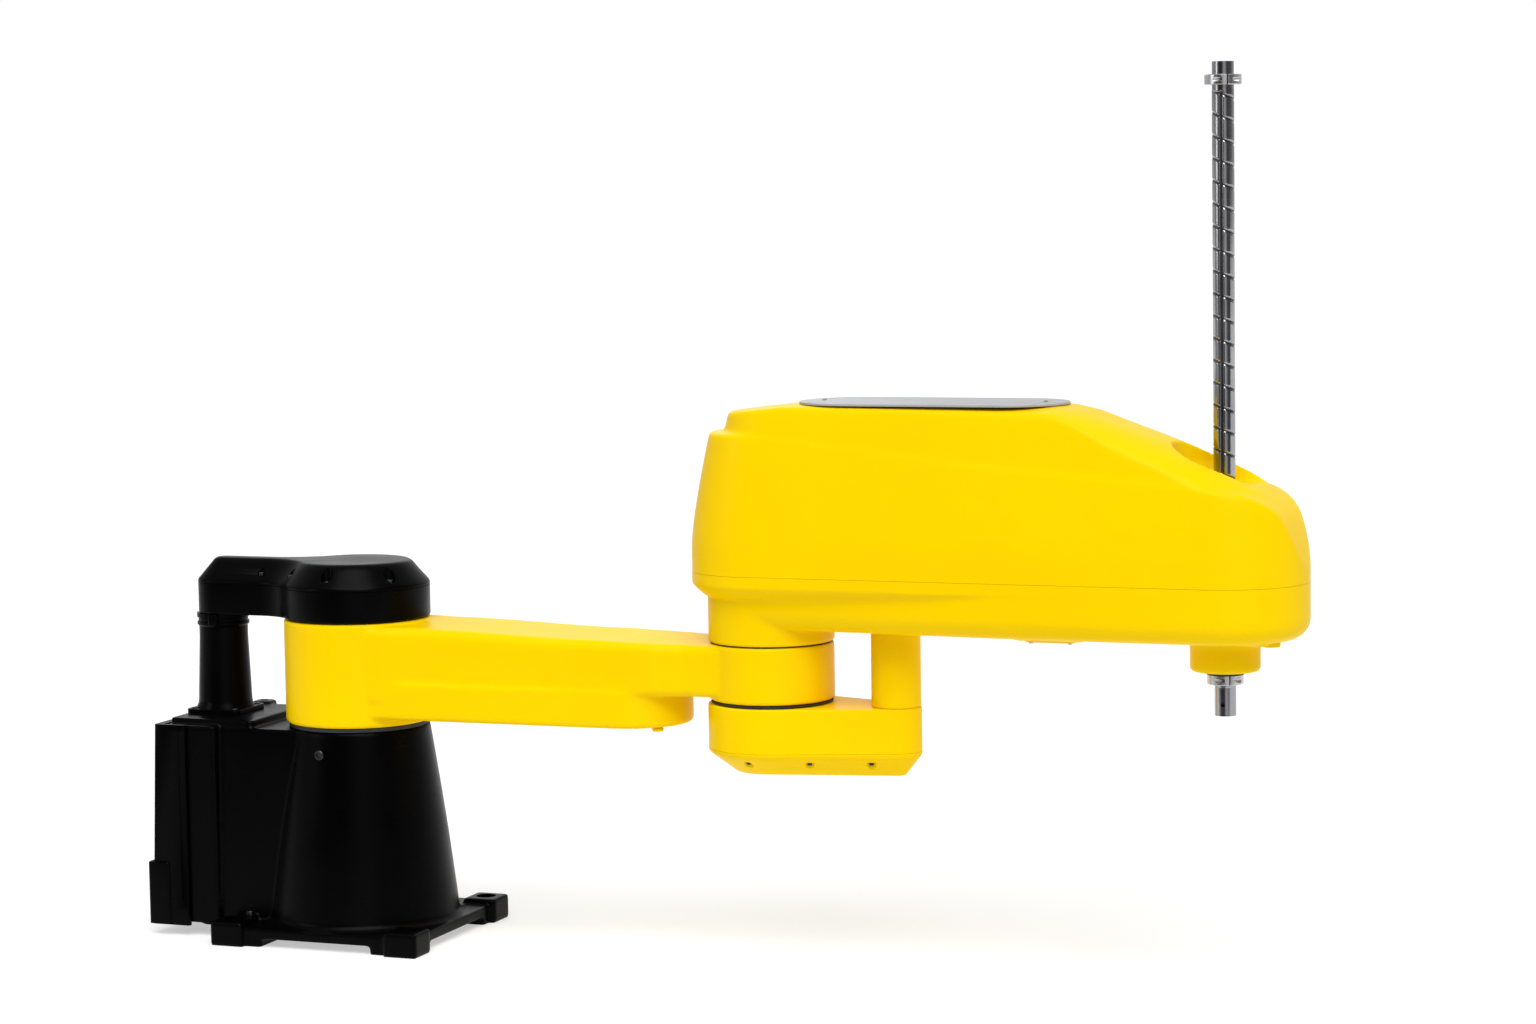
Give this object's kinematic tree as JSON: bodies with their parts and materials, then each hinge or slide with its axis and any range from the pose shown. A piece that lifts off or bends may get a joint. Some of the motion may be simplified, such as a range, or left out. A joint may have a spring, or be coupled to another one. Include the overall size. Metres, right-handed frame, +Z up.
{
  "type": "scara robot arm",
  "caption": "Four-axis SCARA robot arm: bolt-down black base with overhead cable duct, two yellow arms and a vertical ball-screw-spline quill.",
  "frame": {"origin": "on the joint 1 axis at the base's mounting plane", "axes": "+X along both arms at rest, towards the quill; +Z up along the joint axes; +Y to the left seen from behind"},
  "size_m": [1.4643, 0.268, 1.051],
  "materials": {
    "yellow_paint": "gloss",
    "black_paint": "satin",
    "grey_panel": "satin",
    "polished_steel": "polished",
    "dark_steel": "satin",
    "cast_aluminium": "satin",
    "rubber": "matte",
    "motor_black": "satin"
  },
  "bodies": {
    "base": {"base_casting": "black_paint", "connector_cover": "black_paint", "lower_connector_cover": "black_paint", "power_connector": "dark_steel", "encoder_connector": "dark_steel", "air_port_block": "cast_aluminium", "duct_post": "black_paint", "duct_housing": "black_paint", "duct_cover": "black_paint", "duct_cover_screw_1": "dark_steel", "duct_cover_screw_2": "dark_steel", "duct_cover_screw_3": "dark_steel", "duct_cover_screw_4": "dark_steel", "j1_motor": "motor_black", "j1_reducer_case": "cast_aluminium", "tower_plug": "dark_steel", "ground_screw": "polished_steel", "base_harness": "rubber"},
    "link1": {"link1_casting": "yellow_paint", "j1_output_flange": "polished_steel", "j1_cable_ring": "cast_aluminium", "link1_plug": "yellow_paint", "j2_output_flange": "polished_steel"},
    "link2": {"arm2_casting": "yellow_paint", "arm2_cover": "yellow_paint", "top_plate": "grey_panel", "top_plate_screw_1": "polished_steel", "top_plate_screw_2": "polished_steel", "j2_reducer_case": "cast_aluminium", "j2_motor": "motor_black", "j3_motor_bracket": "cast_aluminium", "j3_motor": "motor_black", "j3_brake": "dark_steel", "j4_motor_bracket": "cast_aluminium", "j4_motor": "motor_black", "ball_nut_support": "cast_aluminium", "j3_belt": "rubber", "j4_belt": "rubber", "access_cover": "yellow_paint", "boss_seal": "rubber", "elbow_duct_housing": "yellow_paint", "elbow_duct_cover": "yellow_paint", "elbow_duct_post": "yellow_paint", "elbow_harness": "rubber", "elbow_screw_1": "polished_steel", "elbow_screw_2": "polished_steel", "elbow_screw_3": "polished_steel", "elbow_screw_4": "polished_steel", "elbow_screw_5": "polished_steel", "elbow_screw_6": "polished_steel"},
    "spline_unit": {"spline_nut": "polished_steel", "j4_driven_pulley": "cast_aluminium"},
    "ball_nut_unit": {"ball_nut": "polished_steel", "j3_driven_pulley": "cast_aluminium"},
    "quill": {"quill_shaft": "polished_steel", "top_collar": "polished_steel", "bottom_collar": "polished_steel"},
    "j3_pulley": {"j3_motor_pulley": "cast_aluminium"},
    "j4_pulley": {"j4_motor_pulley": "cast_aluminium"},
    "button": {"brake_release_button": "yellow_paint"}
  },
  "joints": [
    {"name": "j1", "type": "hinge", "parent": "base", "child": "link1", "pos_m": [0, 0, 0.268], "axis": [0, 0, 1], "range_deg": [-145, 145]},
    {"name": "j2", "type": "hinge", "parent": "link1", "child": "link2", "pos_m": [0.55, 0, 0.383], "axis": [0, 0, 1], "range_deg": [-140, 140]},
    {"name": "j4", "type": "hinge", "parent": "link2", "child": "spline_unit", "pos_m": [1.1, 0, 0.4], "axis": [0, 0, 1], "range_deg": [-720, 720]},
    {"name": "j3", "type": "slide", "parent": "spline_unit", "child": "quill", "axis": [0, 0, 1], "range_m": [-0.42, 0]},
    {"name": "ball_nut_spin", "type": "hinge", "parent": "spline_unit", "child": "ball_nut_unit", "pos_m": [1.1, 0, 0.5], "axis": [0, 0, 1], "range_deg": [-6060, 10]},
    {"name": "j3_motor_spin", "type": "hinge", "parent": "link2", "child": "j3_pulley", "pos_m": [0.958, 0, 0.505], "axis": [0, 0, 1], "range_deg": [-9700, 10]},
    {"name": "j4_motor_spin", "type": "hinge", "parent": "link2", "child": "j4_pulley", "pos_m": [0.828, 0, 0.439], "axis": [0, 0, 1], "range_deg": [-1525, 1525]},
    {"name": "brake_release", "type": "slide", "parent": "link2", "child": "button", "axis": [0, 0, 1], "range_m": [0, 0.003], "stiffness_N_per_m": 400, "springref_m": -0.002}
  ],
  "couplings": [
    {"joint": "ball_nut_spin", "follows": "j3", "rad_per_m": 251.33},
    {"joint": "j3_motor_spin", "follows": "j3", "rad_per_m": 402.12},
    {"joint": "j4_motor_spin", "follows": "j4", "ratio": 2.1111}
  ]
}
